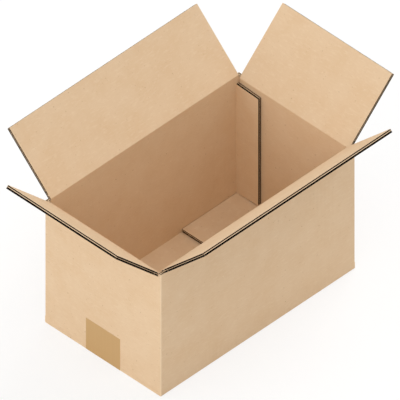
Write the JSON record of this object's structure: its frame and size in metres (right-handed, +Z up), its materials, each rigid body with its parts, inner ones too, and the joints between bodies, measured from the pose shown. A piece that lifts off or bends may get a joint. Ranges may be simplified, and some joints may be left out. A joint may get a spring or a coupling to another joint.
{
  "type": "open cardboard box",
  "caption": "Open slotted carton of double wall corrugated board: four walls, a taped bottom and hinged top flaps standing open.",
  "frame": {"origin": "middle of the face that the box stands on, at floor level", "axes": "+Z up, X along the box's length with the taped short wall of the picture at -X, Y along its width"},
  "size_m": [0.3966, 0.2776, 0.2208],
  "materials": {
    "kraft_board": "matt brown kraft liner",
    "packing_tape": "satin buff polypropylene film"
  },
  "bodies": {
    "carton": {"carton_body": "kraft_board", "bottom_tape": "packing_tape"},
    "back_flap": {"back_flap": "kraft_board"},
    "front_flap": {"front_flap": "kraft_board"},
    "right_flap": {"right_flap": "kraft_board"},
    "left_flap": {"left_flap": "kraft_board"}
  },
  "joints": [
    {"name": "back_flap_fold", "type": "hinge", "parent": "carton", "child": "back_flap", "pos_m": [0, 0.0815, 0.1606], "axis": [-1, 0, 0], "range_deg": [-135, 125]},
    {"name": "front_flap_fold", "type": "hinge", "parent": "carton", "child": "front_flap", "pos_m": [0, -0.0815, 0.1606], "axis": [1, 0, 0], "range_deg": [-135, 125]},
    {"name": "right_flap_fold", "type": "hinge", "parent": "carton", "child": "right_flap", "pos_m": [0.138, 0, 0.1564], "axis": [0, 1, 0], "range_deg": [-135, 125]},
    {"name": "left_flap_fold", "type": "hinge", "parent": "carton", "child": "left_flap", "pos_m": [-0.138, 0, 0.1564], "axis": [0, -1, 0], "range_deg": [-135, 125]}
  ]
}
